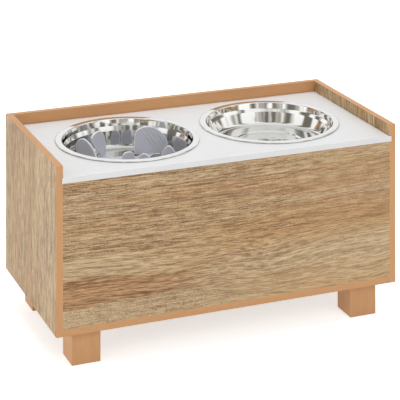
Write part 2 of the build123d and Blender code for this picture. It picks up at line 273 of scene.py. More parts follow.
def build_wood_grain():
    tree, given, result = new_tree(
        "ShaderNodeTree", "wood_grain",
        {"Vector": "Vector", "Pale": "Color", "Middle": "Color", "Red": "Color", "Dark": "Color",
         "Depth": "Float", "More Pale": "Float", "More Red": "Float", "More Ripple": "Float"},
        FINISH_OUTPUTS,
    )
    asked = given.outputs
    where = asked["Vector"]

    # The grain wanders up and down as it runs along the board, where it doesn't ripple.
    drift = noise(where, *WANDERS).node.outputs["Color"]
    wander = maths("VECTOR_SUBTRACT", drift, (0.5, 0.5, 0.5))
    wander = maths("VECTOR_MULTIPLY", wander, WANDER_REACH)
    calm = maths("SUBTRACT", 1.0, asked["More Ripple"])
    wandering = maths("VECTOR_ADD", where, maths("VECTOR_MULTIPLY", wander, calm))

    # Ripples are short dashes that rise a little as they go.
    x, y, z = add(tree, "ShaderNodeSeparateXYZ", Vector=where).outputs
    lean = times(x, RIPPLE_LEAN)
    slanted = add(tree, "ShaderNodeCombineXYZ", X=x, Y=maths("ADD", y, lean),
                  Z=maths("ADD", z, lean))

    parts = {}
    for name, (along, across, detail, roughness, low, high) in GRAIN.items():
        spot = slanted.outputs[0] if name == "ripples" else wandering
        parts[name] = between(noise(spot, (along, across, across), detail, roughness), low, high)
    rippled = maths("MULTIPLY_ADD", parts["zones"], RIPPLE_IN_ZONES, RIPPLE_ALL_OVER)
    rippled = maths("MAXIMUM", asked["More Ripple"], rippled)
    parts["ripples"] = times(parts["ripples"], rippled)

    pale = maths("MAXIMUM", parts["bands"], asked["More Pale"])
    red = maths("MAXIMUM", times(parts["reds"], RED_SHARE), asked["More Red"])
    dark = weighted(*[(parts[name], share) for name, share in DARK_SHARES.items()])
    dark = times(dark, maths("MULTIPLY_ADD", asked["More Pale"], -PALE_CALM, 1.0))
    dark = maths("MINIMUM", times(dark, asked["Depth"]), 1.0)

    color = mix_colours(pale, asked["Middle"], asked["Pale"])
    color = mix_colours(red, color, asked["Red"])
    put_out(
        result,
        Color=mix_colours(dark, color, asked["Dark"]),
        Roughness=maths("MULTIPLY_ADD", parts["streaks"], STREAK_ROUGHNESS, PAPER_ROUGHNESS),
        Height=times(dark, -1.0),
    )
    return tree


wood_grain = build_wood_grain()
print("wood_grain has", len(wood_grain.nodes), "nodes")

# %% [markdown]
# ## Board finishes
# The front has its grain lying down, the sides have it standing, and the sides are a little
# greyer. The edges are covered with a plain orange band, and the legs are foiled in nearly the
# same orange. They use the same group with tints that lie close together, so only a hint of
# grain is left.

# %% Wood materials
# Each finish has a pale, a middle, a red and a dark tint.
FRONT_TINTS = ((222, 195, 154), (215, 179, 128), (198, 143, 98), (121, 83, 43))
SIDE_TINTS = ((223, 194, 146), (205, 168, 117), (207, 157, 116), (118, 86, 50))
BAND_TINTS = ((210, 159, 109), (206, 153, 103), (204, 149, 99), (192, 139, 91))
LEG_TINTS = ((215, 164, 117), (209, 157, 108), (205, 151, 102), (193, 141, 93))
BEECH_TINTS = ((226, 198, 155), (214, 184, 140), (208, 176, 132), (190, 156, 112))
LYING = (0, 0, 0)
UPRIGHT = (0, 90, 0)
WOOD_RELIEF = 0.0002


def wood(name, tints, depth, turn=LYING, bump=0.25):
    """A board's finish; depth is how dark its marks are."""
    tints = dict(zip(("Pale", "Middle", "Red", "Dark"), [linear(*tint) for tint in tints]))
    return new_finish(name, wood_grain, bump, WOOD_RELIEF, turn, Depth=depth, **tints)


front_oak = wood("front_oak", FRONT_TINTS, 1.0)
back_oak = wood("back_oak", FRONT_TINTS, 1.0)
side_oak = wood("side_oak", SIDE_TINTS, 1.3, UPRIGHT)
band_across = wood("band_across", BAND_TINTS, 0.3, bump=0.1)
band_upright = wood("band_upright", BAND_TINTS, 0.3, UPRIGHT, 0.1)
leg_foil = wood("leg_foil", LEG_TINTS, 0.4, UPRIGHT, 0.15)
beech = wood("beech", BEECH_TINTS, 0.5)
print("seven wood finishes ready")

# %% [markdown]
# ## The print on the front
# The front is the board that everyone sees, and its print has places of its own. A red band lies
# low on the left, with paler wood over it and a pale rippled foot under it, and the wood ripples
# above the middle too. It gets paler to the right, and low on the right its lines are calmer and
# bend round a knot that isn't there. Each place is a soft-edged rectangle that raises or lowers
# an input of the grain, and the bent one also moves the point where the grain is read. Noise
# makes the upper and lower edges of the others ragged.

# %% Places on the front
BEYOND = 0.4  # further than the panel's edges
# Ranges in X and Z, and how softly each fades out, in metres.
PLACES = {
    "red_band": ((-BEYOND, -0.08), (0.098, 0.132), 0.07, 0.002),
    "foot": ((-BEYOND, 0.0), (0.0, 0.096), 0.07, 0.003),
    "upper": ((-BEYOND, BEYOND), (0.172, BEYOND), 0.05, 0.012),
    "over_band": ((-BEYOND, -0.07), (0.134, 0.166), 0.08, 0.004),
    "bent": ((-0.02, BEYOND), (0.0, 0.14), 0.09, 0.04),
}
RAGGED = ((6.0, 60.0, 60.0), 2.0, 0.05)  # waves per metre, detail and height
BENDS = ((5.5, 8.0, 8.0), 0.0, 0.045)
BAND_RED = 0.65
UPPER_RIPPLE = 0.56
OVER_BAND_PALE = 0.2
DEPTH = 1.15
DEEPER_IN_BAND = 0.4
PALER_RIGHT = 0.24
PALER_BENT = 0.08
PALER_FROM, PALER_TO = -0.05, 0.25


def patch(x, z, x_range, z_range, soft_x, soft_z):
    """A soft-edged rectangle, 1 inside and 0 outside."""
    sides = []
    for value, (low, high), soft in ((x, x_range, soft_x), (z, z_range, soft_z)):
        rising = between(value, low - soft, low + soft)
        falling = between(value, high + soft, high - soft)
        sides.append(times(rising, falling))
    return times(*sides)


def uneven(place, scale, detail, height):
    """A small shift up or down that changes from place to place."""
    return times(maths("SUBTRACT", noise(place, scale, detail), 0.5), height)


def print_front(material):
    tree = material.node_tree
    place = tree.nodes["place"].outputs["Object"]
    x, _, z = add(tree, "ShaderNodeSeparateXYZ", Vector=place).outputs
    ragged_z = maths("ADD", z, uneven(place, *RAGGED))
    share = {
        name: patch(x, z if name == "bent" else ragged_z, *sizes)
        for name, sizes in PLACES.items()
    }
    foot = share["foot"]
    depth = weighted((share["red_band"], DEEPER_IN_BAND), (share["bent"], -PALER_BENT),
                     (between(x, PALER_FROM, PALER_TO), -PALER_RIGHT))
    grain = tree.nodes["surface"].inputs
    feed(grain["More Red"], times(share["red_band"], BAND_RED))
    feed(grain["More Ripple"], maths("MAXIMUM", foot, times(share["upper"], UPPER_RIPPLE)))
    feed(grain["More Pale"], maths("MAXIMUM", foot, times(share["over_band"], OVER_BAND_PALE)))
    feed(grain["Depth"], maths("ADD", depth, DEPTH))
    bend = add(tree, "ShaderNodeCombineXYZ", Z=times(uneven(place, *BENDS), share["bent"]))
    feed(tree.nodes["moved"].inputs["Vector"], maths("VECTOR_ADD", place, bend.outputs[0]))


print_front(front_oak)
print("front print has", len(PLACES), "places")

# %% [markdown]
# ## A fine moulded or pressed surface
# White melamine, grey plastic and nylon are one colour all over, yet none of them is perfectly
# even: the light breaks a little on a fine orange-peel texture, and the tint drifts by a percent
# or two. One group gives both, and each finish sets how coarse and how strong they are.

# %% Fine surface group
CLOUDS_PER_METRE = 14.0
CLOUD_LEVELS = (0.3, 0.7)
PEEL_ROUGHNESS = 0.12
SATIN_ROUGHNESS = 0.36
PEEL_RELIEF = 0.0001
BLACK = (0.0, 0.0, 0.0, 1.0)


def build_fine_surface():
    tree, given, result = new_tree(
        "ShaderNodeTree", "fine_surface",
        {"Vector": "Vector", "Tint": "Color", "Drift": "Float", "Grains per Metre": "Float"},
        FINISH_OUTPUTS,
    )
    asked = given.outputs
    cloud = noise(asked["Vector"], CLOUDS_PER_METRE, 3.0)
    peel = noise(asked["Vector"], asked["Grains per Metre"])
    shade = times(between(cloud, *CLOUD_LEVELS), asked["Drift"])
    put_out(
        result,
        Color=mix_colours(shade, asked["Tint"], BLACK),
        Roughness=maths("MULTIPLY_ADD", peel, PEEL_ROUGHNESS, SATIN_ROUGHNESS),
        Height=peel,
    )
    return tree


fine_surface = build_fine_surface()


def moulded(name, tint, drift, grains, bump):
    """A finish of one colour with a fine texture of so many grains per metre."""
    return new_finish(name, fine_surface, bump, PEEL_RELIEF, Tint=linear(*tint), Drift=drift,
                      Grains_per_Metre=grains)


white_melamine = moulded("white_melamine", (233, 233, 233), 0.03, 900.0, 0.15)
grey_plastic = moulded("grey_plastic", (202, 203, 211), 0.06, 1600.0, 0.35)
# A lighter grey for the petals' rounded edges: a painted highlight.
grey_painted_highlight = moulded("grey_painted_highlight", (232, 232, 237), 0.04, 1600.0, 0.2)
nylon = moulded("nylon", (228, 228, 222), 0.04, 1200.0, 0.2)
print("moulded finishes ready")

# %% [markdown]
# ## Polished and plated steel
# The bowls are pressed from stainless steel and polished on a lathe, so they mirror the room, and
# very fine rings round their axis bend the mirror image slightly. The group makes those rings
# from the distance to the axis, which the Mapping node of each bowl brings to the origin. Two
# painted shades darken the colour: a thin dark line on the underside of the rolled rim, where it
# sits on the lid, and a shade that deepens towards the floor of a bowl. Cams, bolts and screws
# are zinc plated: the same group with less shine and stronger marks.

# %% Turned metal group
RINGS_PER_METRE = 900.0
HAZE_PER_METRE = 30.0
DENTS_PER_METRE = 38.0
RING_RELIEF = 0.03  # beside the dents' relief of 1
HAZE_SHARE = 0.08
HAZE_TINT = (0.3, 0.3, 0.3, 1.0)
# A painted shade: the dark line under the rolled rim where it sits on the lid.
RIM_SHADE_TINT = (0.18, 0.178, 0.17, 1.0)
RIM_SHADE_EDGE = 2500.0  # the painted rim shade fades in over 1/2500 of a metre


def build_turned_metal():
    tree, given, result = new_tree(
        "ShaderNodeTree", "turned_metal",
        {"Vector": "Vector", "Tint": "Color", "Shine": "Float", "Marks": "Float",
         "Dull Beyond": "Float", "Dull Below": "Float", "Deep Tint": "Color",
         "Deep Share": "Float", "Shallow": "Float", "Deep": "Float"},
        FINISH_OUTPUTS,
    )
    asked = given.outputs
    x, y, z = add(tree, "ShaderNodeSeparateXYZ", Vector=asked["Vector"]).outputs
    radius = maths("SQRT", weighted((x, x), (y, y)))
    section = add(tree, "ShaderNodeCombineXYZ", X=radius, Y=z)
    rings = noise(section.outputs[0], RINGS_PER_METRE)
    haze = noise(asked["Vector"], HAZE_PER_METRE)
    dents = noise(asked["Vector"], DENTS_PER_METRE, 1.0)

    tone = times(between(haze, *CLOUD_LEVELS), HAZE_SHARE)
    # Painted shade under the rolled rim: past a radius and below a height the colour turns dark.
    past = maths("SUBTRACT", radius, asked["Dull Beyond"])
    past = maths("MAXIMUM", times(past, RIM_SHADE_EDGE), 0.0)
    rim_shade = times(maths("MINIMUM", past, 1.0), maths("LESS_THAN", z, asked["Dull Below"]))
    # A painted shade that deepens from the lid's height down towards the floor of a bowl.
    depth_shade = maths("DIVIDE", maths("SUBTRACT", z, asked["Shallow"]),
                 maths("SUBTRACT", asked["Deep"], asked["Shallow"]))
    depth_shade = times(between(depth_shade, 0.0, 1.0), asked["Deep Share"])

    color = mix_colours(tone, asked["Tint"], HAZE_TINT)
    color = mix_colours(rim_shade, color, RIM_SHADE_TINT)
    wear = times(rings, asked["Marks"])
    put_out(
        result,
        Color=mix_colours(depth_shade, color, asked["Deep Tint"]),
        Roughness=maths("MULTIPLY_ADD", haze, wear, asked["Shine"]),
        Height=maths("MULTIPLY_ADD", rings, RING_RELIEF, dents),
    )
    return tree


turned_metal = build_turned_metal()
print("turned_metal has", len(turned_metal.nodes), "nodes")

# %% Metal materials
LID_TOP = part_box("lid_board")[1].z
BOWL_X = 0.131
BOWL_Y = -0.005
# Where the painted shade under the rolled rim lies: past this radius and below this height.
RIM_CONTACT_SHADE = {"rim_shade_beyond": 0.121, "rim_shade_below": LID_TOP + 0.001}
POLISHED_TINT = (240, 240, 238)
# How far down the painted shade in a bowl takes to reach its full share.
SHADE_DEPTH = 0.03
METAL_RELIEF = 0.0005
NOWHERE = 9.0  # a radius and a height that no piece reaches


def steel(name, tint, shine, marks, bump, axis=(0, 0, 0), depth_shade_tint=(0.3, 0.3, 0.28),
          depth_shade_share=0.0, rim_shade_beyond=NOWHERE, rim_shade_below=NOWHERE):
    """A metal finish; axis is a point on the axis that it was polished round.

    Past the radius and below the height given for the rim, a painted shade darkens the metal.
    Down in a bowl a painted shade darkens the colour by a share towards a darker tint.
    """
    material = new_finish(
        name, turned_metal, bump, METAL_RELIEF, centre=axis, Tint=linear(*tint), Shine=shine,
        Marks=marks, Dull_Beyond=rim_shade_beyond, Dull_Below=rim_shade_below,
        Deep_Tint=(*depth_shade_tint, 1.0), Deep_Share=depth_shade_share, Shallow=LID_TOP,
        Deep=LID_TOP - SHADE_DEPTH,
    )
    feed(material.node_tree.nodes["Principled BSDF"].inputs["Metallic"], 1.0)
    return material


# Both bowls get a painted shade towards their floor; the left one, which the insert shades, much
# darker.
left_mirror = steel("left_mirror", POLISHED_TINT, 0.04, 0.05, 0.5, (-BOWL_X, BOWL_Y, 0),
                    (0.13, 0.13, 0.13), 0.32, **RIM_CONTACT_SHADE)
right_mirror = steel("right_mirror", POLISHED_TINT, 0.05, 0.05, 0.8, (BOWL_X, BOWL_Y, 0),
                     (0.3, 0.3, 0.27), 0.15, **RIM_CONTACT_SHADE)
zinc = steel("zinc", (196, 196, 198), 0.28, 0.2, 0.3)
pin_steel = steel("pin_steel", (205, 205, 207), 0.15, 0.1, 0.2)
print("metals ready")

# %% [markdown]
# ## Finish the CAD boards
# The boards themselves are flat and square, which is what sawn chipboard looks like, and the
# bores for their cams and dowels are already in them. They stay as CAD made them and only change
# their material. A CAD node's shape and place are never touched.

# %% Materials of the nodes that stay
KEPT = {
    front_oak: ["front_panel"],
    back_oak: ["bottom_panel", "back_panel"],
    side_oak: ["left_side_panel", "right_side_panel"],
    band_across: ["back_rail"],
    zinc: ["cam_locks", "cam_bolts", "leg_screws"],
    pin_steel: ["left_pivot_pin", "right_pivot_pin"],
    nylon: ["left_pivot_bush", "right_pivot_bush"],
    beech: ["panel_dowels"],
}
for finish, names in KEPT.items():
    for name in names:
        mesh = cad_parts[name].data
        mesh.materials.clear()
        mesh.materials.append(finish)
print("finished nodes:", sum(len(names) for names in KEPT.values()))

# %% [markdown]
# ## Pieces with softened edges
# Nothing made of wood or foil has a knife edge. Where light runs along an edge it shows as a thin
# bright line, and without it a board looks like paper. Each banding strip, leg and lip is a block
# whose edges are rounded by a small bevel, exactly within its CAD box. The legs come first.

# %% Soft-edged blocks
EASE_STEPS = 3
LEG_EASE = 0.0012
LEGS = ("front_left_leg", "front_right_leg", "back_left_leg", "back_right_leg")


def add_block(target, low, high, ease):
    """A block with rounded edges, added to a bmesh."""
    made = bmesh.ops.create_cube(target, size=1.0)["verts"]
    for vertex in made:
        vertex.co = [lo if share < 0 else hi for share, lo, hi in zip(vertex.co, low, high)]
    edges = list({edge for vertex in made for edge in vertex.link_edges})
    bmesh.ops.bevel(target, geom=edges, offset=ease, segments=EASE_STEPS, profile=0.5,
                    affect="EDGES")


def smooth_piece(name, shape, *finishes):
    """An object from a bmesh, whose flat faces stay flat beside their small rounded edges."""
    mesh = bpy.data.meshes.new(name)
    shape.to_mesh(mesh)
    shape.free()
    for finish in finishes:
        mesh.materials.append(finish)
    mesh.shade_smooth()
    piece = placed(name, mesh)
    modifier = piece.modifiers.new("weighted", "WEIGHTED_NORMAL")
    modifier.keep_sharp = True
    modifier.weight = 100
    return piece


def block_piece(name, blocks, ease, finish):
    """One object from blocks given as (low corner, high corner)."""
    shape = bmesh.new()
    for low, high in blocks:
        add_block(shape, low, high, ease)
    return smooth_piece(name, shape, finish)


def stand_for(piece, body, node):
    """Put a finished piece on its CAD body, in place of its CAD node."""
    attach(piece, body)
    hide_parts(node)


for name in LEGS:
    leg = block_piece(f"{name}_block", [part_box(name)], LEG_EASE, leg_foil)
    stand_for(leg, "cabinet", name)
low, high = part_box(LEGS[0])
print("legs:", len(LEGS), "size in mm", [round(v * 1000) for v in high - low])

# %% [markdown]
# ## Edge banding
# A band is a strip of plastic a millimetre thick, glued to the sawn edge of a board. On a side
# panel four strips meet at the corners, and on the bottom board, the front panel and the back
# rail there is only one. The strips are cut from the node's box, so they sit exactly where CAD
# has them.

# %% Banding strips
BAND = 0.001
BAND_EASE = 0.0003


def around(low, high):
    """The four strips round a side panel: front and back, then top and bottom."""
    inner_low, inner_high = low.y + BAND, high.y - BAND
    return [
        ((low.x, low.y, low.z), (high.x, inner_low, high.z)),
        ((low.x, inner_high, low.z), (high.x, high.y, high.z)),
        ((low.x, inner_low, high.z - BAND), (high.x, inner_high, high.z)),
        ((low.x, inner_low, low.z), (high.x, inner_high, low.z + BAND)),
    ]


for side in ("left", "right"):
    node = f"{side}_side_edging"
    strips = block_piece(f"{side}_banding", around(*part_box(node)), BAND_EASE, band_upright)
    stand_for(strips, "cabinet", node)
for node in ("bottom_edging", "front_edging", "rail_edging"):
    strip = block_piece(f"{node}_strip", [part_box(node)], BAND_EASE, band_across)
    stand_for(strip, "cabinet", node)
print("banding strips ready")

# %% [markdown]
# ## The drilled lid
# The lid is a white board with two round holes. A filled 2-D curve with holes in it, given a
# thickness and a bevel, makes that shape with clean rims: the outline and the holes are three
# closed curves, and the bevel rounds all of their edges alike.

# %% Lid board and its front strip
HOLE_RADIUS = 0.1125
HOLE_STEPS = 128
LID_EASE = 0.0004
LID_EASE_STEPS = 2
SAME_SPOT = 1e-6  # vertices nearer to each other than this are one


def closed_spline(curve, points):
    """A closed line through flat points, added to a curve."""
    spline = curve.splines.new("POLY")
    spline.points.add(len(points) - 1)
    for point, (x, y) in zip(spline.points, points):
        point.co = (x, y, 0, 1)
    spline.use_cyclic_u = True


def circle(x, y, radius):
    turns = [2 * pi * i / HOLE_STEPS for i in range(HOLE_STEPS)]
    return [(x + radius * cos(turn), y + radius * sin(turn)) for turn in turns]


def evaluated_mesh(source):
    """The mesh that an object's curve or modifiers make; the object is removed."""
    bpy.context.view_layer.update()
    graph = bpy.context.evaluated_depsgraph_get()
    made = bpy.data.meshes.new_from_object(source.evaluated_get(graph))
    bpy.data.objects.remove(source)
    return made


low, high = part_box("lid_board")
left, right = low.x + LID_EASE, high.x - LID_EASE
front, back = low.y + LID_EASE, high.y - LID_EASE
outline = bpy.data.curves.new("lid_outline", "CURVE")
outline.dimensions = "2D"
outline.fill_mode = "BOTH"
closed_spline(outline, [(left, front), (right, front), (right, back), (left, back)])
for x in (-BOWL_X, BOWL_X):
    closed_spline(outline, circle(x, BOWL_Y, HOLE_RADIUS + LID_EASE))
outline.extrude = (high.z - low.z) / 2 - LID_EASE
outline.bevel_depth = LID_EASE
outline.bevel_resolution = LID_EASE_STEPS
board = evaluated_mesh(placed("lid_outline", outline))
board.transform(Matrix.Translation((0, 0, (low.z + high.z) / 2)))
shape = bmesh.new()
shape.from_mesh(board)
bmesh.ops.remove_doubles(shape, verts=shape.verts, dist=SAME_SPOT)
bmesh.ops.recalc_face_normals(shape, faces=shape.faces)
print("lid: open edges", sum(1 for edge in shape.edges if not edge.is_manifold))
stand_for(smooth_piece("lid_panel", shape, white_melamine), "lid", "lid_board")
lip = block_piece("lid_lip", [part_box("lid_front_strip")], LID_EASE, white_melamine)
stand_for(lip, "lid", "lid_front_strip")
print("lid size", [round(v, 4) for v in (high - low)])

# %% [markdown]
# ## The bowls: a line turned round an axis
# A pressed bowl follows one rule all over: a line, from the rolled edge down to the middle, is
# turned round an axis. Geometry Nodes can do just that. A grid has as many rows as the line has
# points and one column more than the turn has steps. Each of its vertices is placed by looking
# up its point of the line and turning it. The seam and the two poles are then merged.

# %% Geometry Nodes: turned shape
def close_tree(shape, finish, result):
    """End a geometry tree with real faces that have their material."""
    real = add(shape.id_data, "GeometryNodeRealizeInstances", Geometry=shape)
    painted = add(shape.id_data, "GeometryNodeSetMaterial", Geometry=real.outputs[0],
                  Material=finish)
    feed(result.inputs[0], painted.outputs[0])


def build_turned_shape():
    tree, given, result = new_tree(
        "GeometryNodeTree", "turned_shape",
        {"Line": "Geometry", "Steps": "Int", "Centre": "Vector", "Finish": "Material"},
        {"Shape": "Geometry"},
    )
    line, steps, centre, finish = list(given.outputs)[:4]
    size = add(tree, "GeometryNodeAttributeDomainSize", Geometry=line)
    rows = size.outputs["Point Count"]
    grid = add(tree, "GeometryNodeMeshGrid", Vertices_X=maths("ADD", steps, 1.0), Vertices_Y=rows)
    index = add(tree, "GeometryNodeInputIndex").outputs[0]
    step = maths("FLOOR", maths("DIVIDE", index, rows))
    point = maths("SUBTRACT", index, times(step, rows))
    looked_up = add(tree, "GeometryNodeSampleIndex", {"data_type": "FLOAT_VECTOR"}, Geometry=line,
                    Value=add(tree, "GeometryNodeInputPosition").outputs[0], Index=point)
    angle = times(maths("DIVIDE", step, steps), 2 * pi)
    turned = add(tree, "ShaderNodeVectorRotate", {"rotation_type": "Z_AXIS"},
                 Vector=looked_up.outputs[0], Angle=angle)
    moved = add(tree, "GeometryNodeSetPosition", Geometry=grid.outputs["Mesh"],
                Position=maths("VECTOR_ADD", turned.outputs[0], centre))
    merged = add(tree, "GeometryNodeMergeByDistance", Geometry=moved.outputs[0],
                 Distance=SAME_SPOT)
    smooth = add(tree, "GeometryNodeSetShadeSmooth", Geometry=merged.outputs[0])
    close_tree(smooth.outputs[0], finish, result)
    return tree


def run_tree(name, mesh, tree, inputs):
    """Apply a Geometry Nodes tree to a mesh and keep the result as a plain object."""
    source = placed(f"{name}_source", mesh)
    modifier = source.modifiers.new("nodes", "NODES")
    modifier.node_group = tree
    for item in tree.interface.items_tree:
        if item.in_out == "INPUT" and item.name in inputs:
            modifier[item.identifier] = inputs[item.name]
    made = evaluated_mesh(source)
    made.name = name
    shape = bmesh.new()
    shape.from_mesh(made)
    if shape.calc_volume(signed=True) < 0:
        bmesh.ops.reverse_faces(shape, faces=shape.faces)
    open_edges = sum(1 for edge in shape.edges if not edge.is_manifold)
    shape.to_mesh(made)
    shape.free()
    print(name, len(made.polygons), "faces, open edges", open_edges)
    return placed(name, made)


turned_shape = build_turned_shape()
print("turned_shape has", len(turned_shape.nodes), "nodes")

# %% [markdown]
# ## The line of a bowl
# The line is drawn as a few corners with a radius at each, the way a press tool is drawn. Every
# corner becomes an arc of short steps, and a point is set close to both ends of each straight
# stretch, so that the mirror finish turns only in the arcs. The same line moved by the thickness
# of the sheet is the underside.

# %% Rounded lines
ARC_STEPS = 9
HOLD = 0.0004  # from the end of a straight stretch to its extra point
LONG_RUN = 0.0025


def rounded_line(corners, radii):
    """Points along straight runs with an arc at each inner corner."""
    points = [Vector(corners[0])]
    for before, corner, after, radius in zip(corners, corners[1:], corners[2:], radii):
        corner = Vector(corner)
        back = (Vector(before) - corner).normalized()
        ahead = (Vector(after) - corner).normalized()
        half = back.angle(ahead) / 2
        reach = radius / tan(half)
        middle = corner + (back + ahead).normalized() * radius / sin(half)
        start, end = corner + back * reach, corner + ahead * reach
        for i in range(ARC_STEPS + 1):
            share = i / ARC_STEPS
            away = (start - middle) * (1 - share) + (end - middle) * share
            points.append(middle + away.normalized() * radius)
    points.append(Vector(corners[-1]))
    return points


def held_line(points):
    """The same line with a point near both ends of each long straight run."""
    held = [points[0]]
    for start, end in zip(points, points[1:]):
        run = end - start
        if run.length > LONG_RUN:
            hold = run.normalized() * HOLD
            held += [start + hold, start + run / 2, end - hold]
        held.append(end)
    return held


print("an arc has", ARC_STEPS, "steps")

# %% Bowls
SHEET = 0.001
SLOW_DEPTH = 0.046
ROUND_DEPTH = 0.035
TURN_STEPS = 160
# Corners as radius and height over the lid, from under the rolled edge to the middle.
RIM = [(0.1197, 0.0), (0.1215, 0.0), (0.1215, 0.0025), (0.1105, 0.0025)]
RIM_RADII = [0.00123, 0.00123, 0.0016]
SLOW_BOWL = RIM + [(0.1086, -0.009), (0.1056, -0.0165), (0.1015, -SLOW_DEPTH), (0.0, -SLOW_DEPTH)]
SLOW_RADII = RIM_RADII + [0.002, 0.002, 0.008]
ROUND_BOWL = RIM + [(0.1084, -0.0075), (0.1045, -0.0125), (0.0955, -0.033), (0.060, -0.033),
                    (0.058, -ROUND_DEPTH), (0.0, -ROUND_DEPTH)]
ROUND_RADII = RIM_RADII + [0.002, 0.003, 0.008, 0.0015, 0.0015]


def bowl_mesh(name, corners, radii):
    """The section of a bowl as a mesh of points in the XZ plane."""
    top = held_line(rounded_line(corners, radii))
    under = []
    for i, point in enumerate(top):
        way_in = (point - top[i - 1]).normalized() if i else (top[1] - point).normalized()
        way_out = (top[i + 1] - point).normalized() if i < len(top) - 1 else way_in
        along = (way_in + way_out).normalized()
        under.append(point + Vector((-along.y, along.x)) * SHEET / way_in.dot(along))
    section = [(max(p.x, 0.0), 0.0, LID_TOP + p.y) for p in under[::-1] + top]
    mesh = bpy.data.meshes.new(name)
    mesh.from_pydata(section, [(i, i + 1) for i in range(len(section) - 1)], [])
    return mesh


for name, node, body, x, corners, radii, finish in (
    ("slow_bowl", "bowl_left", "left_bowl", -BOWL_X, SLOW_BOWL, SLOW_RADII, left_mirror),
    ("round_bowl", "bowl_right", "right_bowl", BOWL_X, ROUND_BOWL, ROUND_RADII, right_mirror),
):
    bowl = run_tree(name, bowl_mesh(f"{name}_line", corners, radii), turned_shape,
                    {"Steps": TURN_STEPS, "Centre": (x, BOWL_Y, 0.0), "Finish": finish})
    stand_for(bowl, body, node)
    spots = [vertex.co for vertex in bowl.data.vertices]
    made = [f(spot[axis] for spot in spots) for f in (min, max) for axis in range(3)]
    low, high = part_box(node)
    print(node, "CAD", [round(v * 1000, 1) for v in (*low, *high)])
    print(name, "made", [round(v * 1000, 1) for v in made])

# %% [markdown]
# ## The slow-feeding insert
# The insert is moulded in one go: a flat star with upright petals. Each petal is a blade with a
# rounded edge. It is built as a stack of outlines, drawn in more and more near both faces, so
# that its edge is rounded off, and the last outlines are filled. A smooth line through a few
# points gives each petal its outline, as a designer would draw it.

# %% Petals
# Millimetres and degrees: where a petal stands on the base, its turn, the two ends of its foot,
# and in its own plane the outline from right to left.
Petal = namedtuple("Petal", "x y turn foot edge")
PETALS = {
    "back_left": Petal(-22, 62, 34, (-5, 5),
                       [(5, 16), (2, 34), (-7, 44.5), (-18, 46.5), (-30, 43.5), (-34, 37),
                        (-25, 22), (-12, 9)]),
    "left": Petal(-60, 40, -50, (-15, 26),
                  [(17, 21), (9, 32), (-4, 40), (-16, 36), (-20, 25), (-18, 10)]),
    "back_right": Petal(58, 48, -10, (-28, 22),
                        [(32, 13), (23, 32), (9.5, 43), (-4, 46.5), (-17, 44.5), (-25, 37),
                         (-28, 20)]),
    "right": Petal(71, -8, -30, (-14, 14), [(14, 10), (8, 23), (0, 28), (-9, 20), (-13, 9)]),
    "middle": Petal(-6, -22, 4, (-12, 12), [(13, 13), (8, 28), (-2, 31), (-10, 27), (-13, 13)]),
    "front": Petal(22, -26, -24, (-12, 12), [(13, 10), (7, 21), (-2, 26), (-11, 20), (-13, 9)]),
    "front_left": Petal(-48, -36, 32, (-15, 15), [(16, 9), (8, 20), (-8, 20), (-16, 9)]),
    "front_right": Petal(24, -66, -8, (-15, 15), [(16, 8), (8, 18), (-8, 18), (-16, 8)]),
}
MM = 0.001
PETAL_THICK = 4.0
PETAL_ROUNDING = 0.9
BASE_THICK = 2.5
FLOOR_GAP = 0.3
INSERT_Z = (LID_TOP - SLOW_DEPTH) / MM + FLOOR_GAP
OUTLINE_STEPS = 10
ROUNDING_ANGLES = range(0, 91, 18)
LEAST_TURN = 0.6  # keeps a drawn-in outline from shooting off at a sharp corner
# The finish with the painted highlight, for the rounded edge faces.
HIGHLIGHT_FINISH = 1


def smooth_outline(points):
    """A closed outline through points, by Catmull-Rom stretches; its last side stays straight."""
    padded = [points[0] * 2 - points[1], *points, points[-1] * 2 - points[-2]]
    line = []
    for a, b, c, d in zip(padded, padded[1:], padded[2:], padded[3:]):
        for i in range(OUTLINE_STEPS):
            t = i / OUTLINE_STEPS
            line.append(
                0.5 * (2 * b + (c - a) * t + (2 * a - 5 * b + 4 * c - d) * t * t
                       + (3 * b - 3 * c + d - a) * t ** 3)
            )
    return line + [points[-1]]


def petal_outline(petal):
    left, right = petal.foot
    return smooth_outline([Vector(point) for point in ((right, 0), *petal.edge, (left, 0))])


def drawn_in(outline, amount):
    """The outline moved inwards; it runs against the clock."""
    moved = []
    for i, point in enumerate(outline):
        way_in = (point - outline[i - 1]).normalized()
        way_out = (outline[(i + 1) % len(outline)] - point).normalized()
        along = (way_in + way_out).normalized()
        inwards = Vector((-along.y, along.x))
        moved.append(point + inwards * amount / max(way_in.dot(along), LEAST_TURN))
    return moved


def add_plate(target, outline, thickness, rounding, place):
    """A flat plate with rounded edges, from an outline in millimetres, added to a bmesh."""
    rings = []
    for side, angles in ((-1, ROUNDING_ANGLES[::-1]), (1, ROUNDING_ANGLES)):
        for angle in angles:
            inwards = rounding * (1 - cos(radians(angle)))
            depth = side * (thickness / 2 - rounding + rounding * sin(radians(angle)))
            spots = [place @ Vector((p.x, p.y, depth)) for p in drawn_in(outline, inwards)]
            rings.append([target.verts.new(spot) for spot in spots])
    for ring, following in zip(rings, rings[1:]):
        for i in range(len(ring)):
            j = (i + 1) % len(ring)
            face = target.faces.new((ring[i], ring[j], following[j], following[i]))
            # Rounded edge faces take the lighter grey of the painted highlight.
            face.material_index = HIGHLIGHT_FINISH
    target.faces.new(rings[0][::-1])
    target.faces.new(rings[-1])


def base_place(x=0, y=0):
    """The matrix that brings millimetres on the insert's base into the left bowl, in metres."""
    centre = (x - BOWL_X / MM, y + BOWL_Y / MM, INSERT_Z + BASE_THICK / 2)
    return Matrix.Scale(MM, 4) @ Matrix.Translation(centre)


def petal_place(petal):
    """The matrix that stands a petal up in its place."""
    upright = Matrix.Rotation(radians(petal.turn), 4, "Z") @ Matrix.Rotation(pi / 2, 4, "X")
    return base_place(petal.x, petal.y) @ upright


